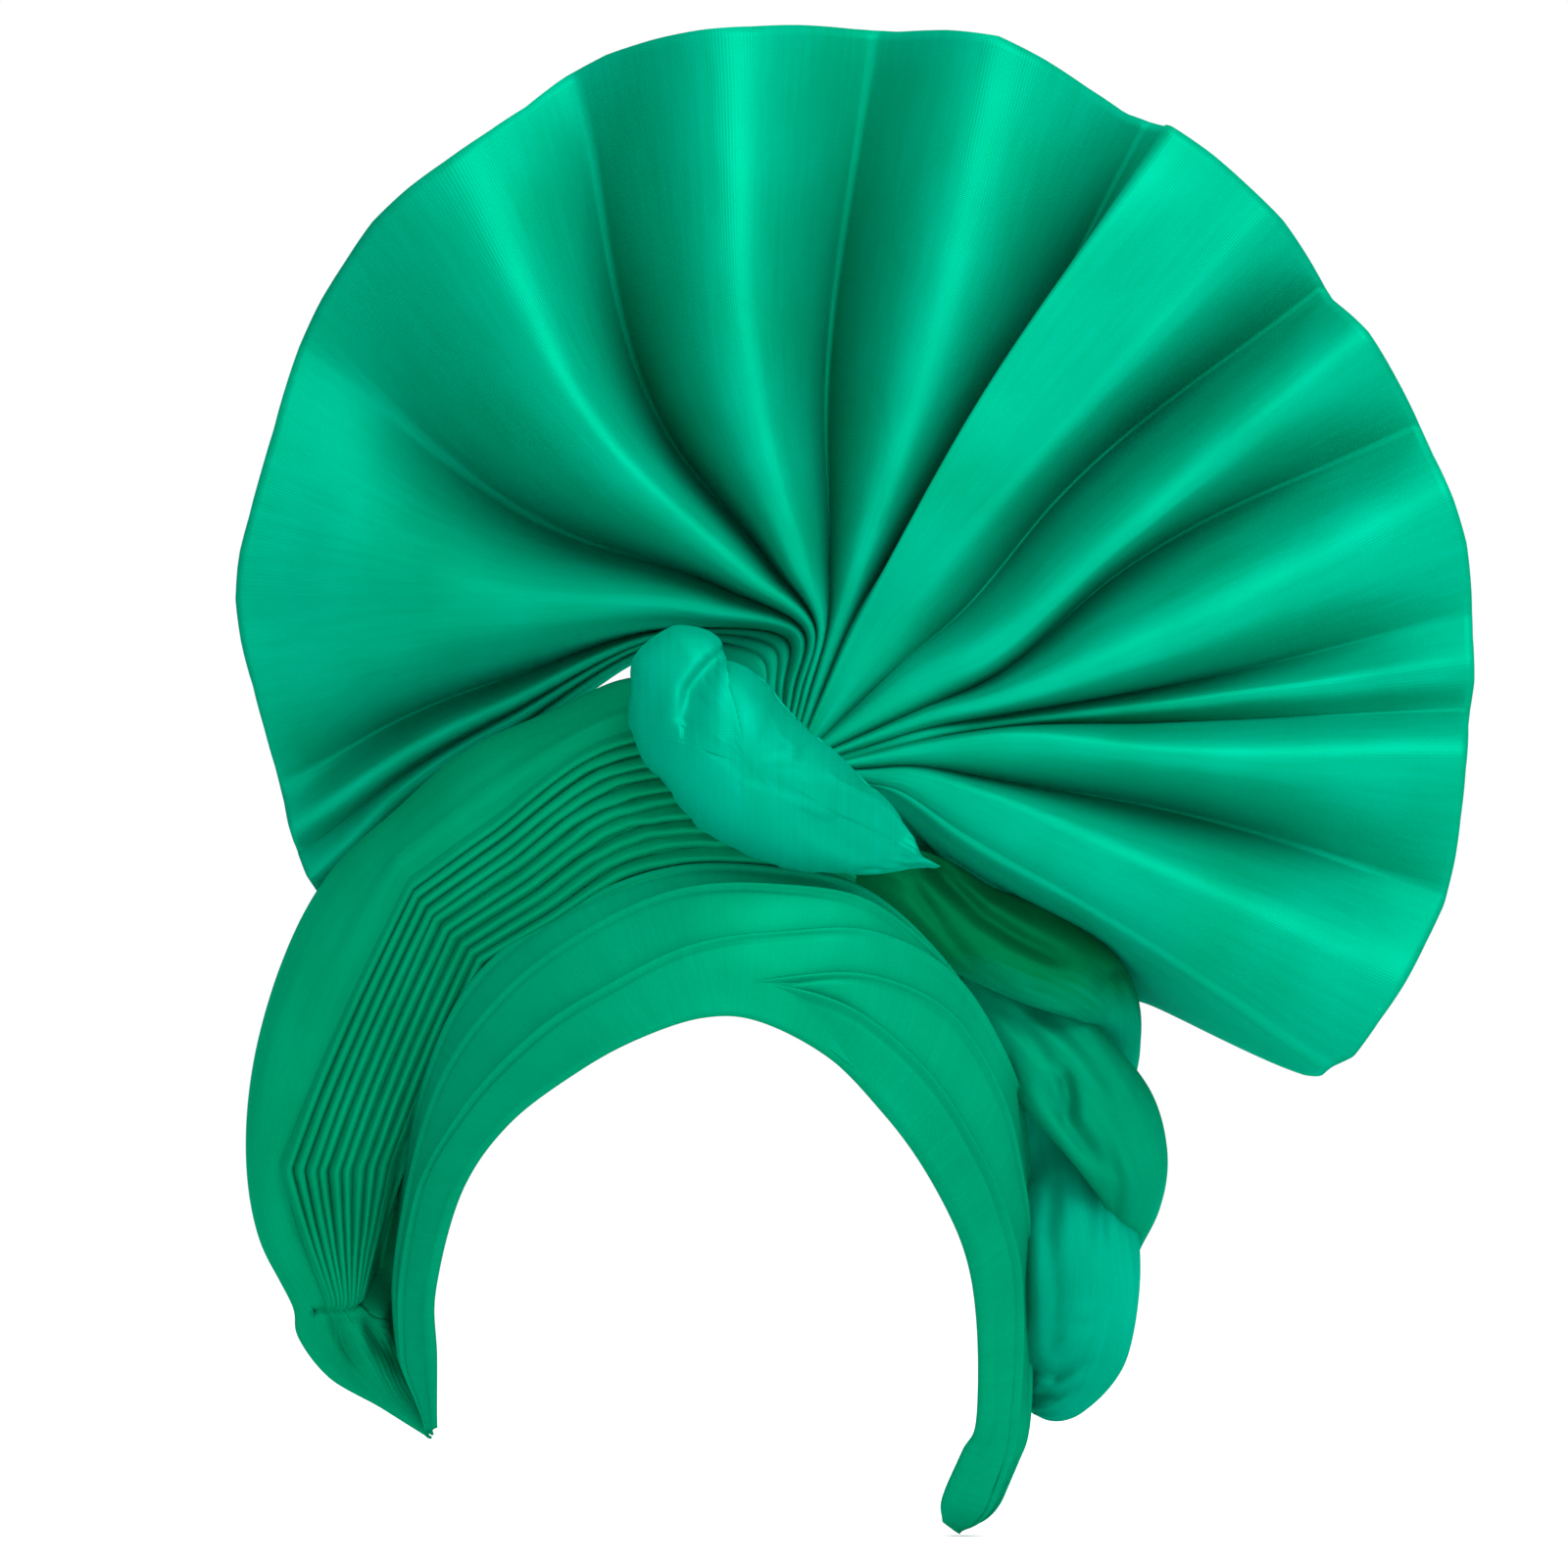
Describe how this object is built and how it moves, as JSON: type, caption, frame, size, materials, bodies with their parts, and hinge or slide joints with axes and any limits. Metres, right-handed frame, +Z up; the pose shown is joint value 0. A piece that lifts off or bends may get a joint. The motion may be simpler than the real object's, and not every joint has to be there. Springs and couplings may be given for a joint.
{
  "type": "turban headband",
  "caption": "Ready-tied turban headband of green satin with layered brow folds, a pleated side wrap, a front knot, a twisted side roll and a tall pleated fan.",
  "frame": {"origin": "middle of the wearer's head, at the height of the brow folds' lower edge over the forehead", "axes": "+Z up on an upright head, -Y the way the wearer faces, +X to the right of somebody who looks at the wearer's face"},
  "size_m": [0.3554, 0.1689, 0.4362],
  "materials": {
    "brow_cloth": "green satin, flat folds",
    "wrap_cloth": "green satin in narrow knife pleats",
    "fan_cloth": "stiff green satin with a blue-green sheen",
    "knot_cloth": "green satin over filling",
    "roll_cloth": "green satin over filling"
  },
  "bodies": {
    "root": {"brow_base": "brow_cloth", "brow_fold_left_upper": "brow_cloth", "brow_fold_left_lower": "brow_cloth", "brow_fold_right_upper": "brow_cloth", "brow_fold_right_lower": "brow_cloth", "pleated_wrap": "wrap_cloth", "fan": "fan_cloth", "knot": "knot_cloth", "roll_strand_outer": "roll_cloth", "roll_strand_inner": "roll_cloth"}
  },
  "joints": []
}
